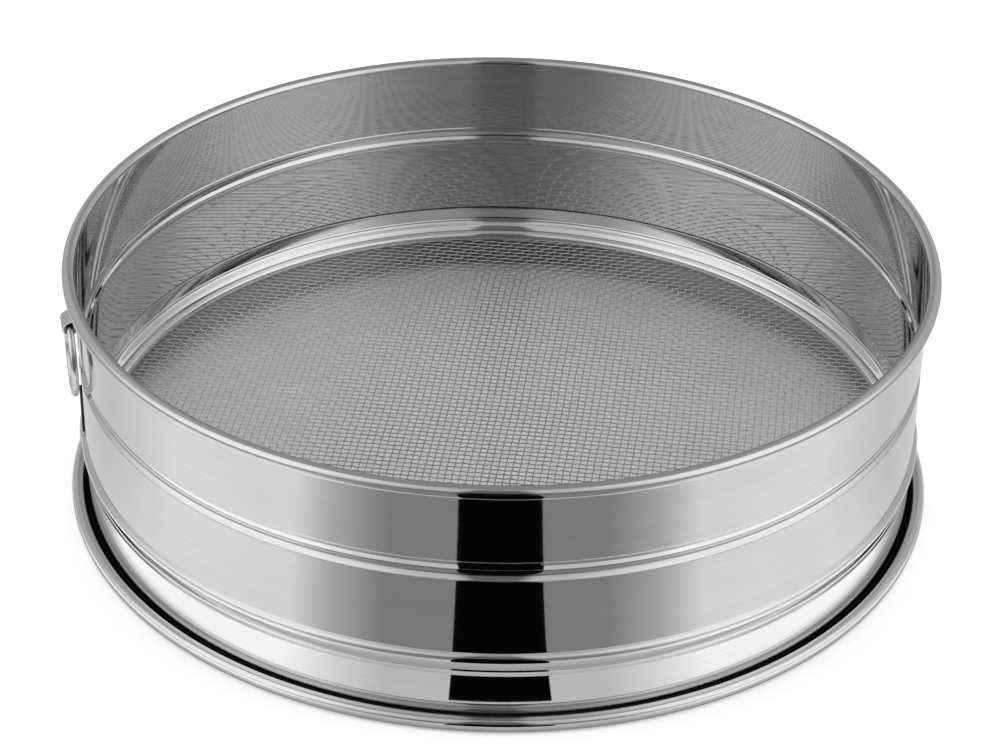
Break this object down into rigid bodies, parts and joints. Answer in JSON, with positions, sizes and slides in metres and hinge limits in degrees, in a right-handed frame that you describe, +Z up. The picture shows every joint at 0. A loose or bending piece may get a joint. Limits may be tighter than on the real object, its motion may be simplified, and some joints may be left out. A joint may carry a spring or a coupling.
{
  "type": "drum sieve",
  "caption": "Round drum sieve of polished sheet steel: curled rim and foot, pressed beads, an inner ring clamping a woven wire floor, and a wire hanging ring that swings in a lug.",
  "frame": {"origin": "centre of the circle on which the foot stands", "axes": "+Z up through the mouth of the sieve, -X towards the hanging ring"},
  "size_m": [0.213, 0.213, 0.064],
  "materials": {
    "polished_steel": "mirror polished stainless steel",
    "core_wire": "drawn steel wire",
    "wire_cloth": "drawn stainless wire, plain weave",
    "fittings": "polished stainless steel"
  },
  "bodies": {
    "drum": {"hoop": "polished_steel", "rim_wire": "core_wire", "foot_wire": "core_wire", "mesh_ring": "polished_steel", "mesh_cloth": "wire_cloth", "ring_lug": "fittings"},
    "ring": {"hanging_ring": "fittings"}
  },
  "joints": [
    {"name": "ring_swing", "type": "hinge", "parent": "drum", "child": "ring", "pos_m": [-0.10424, 0, 0.05384], "axis": [0, 1, 0], "range_deg": [-3, 165]}
  ]
}
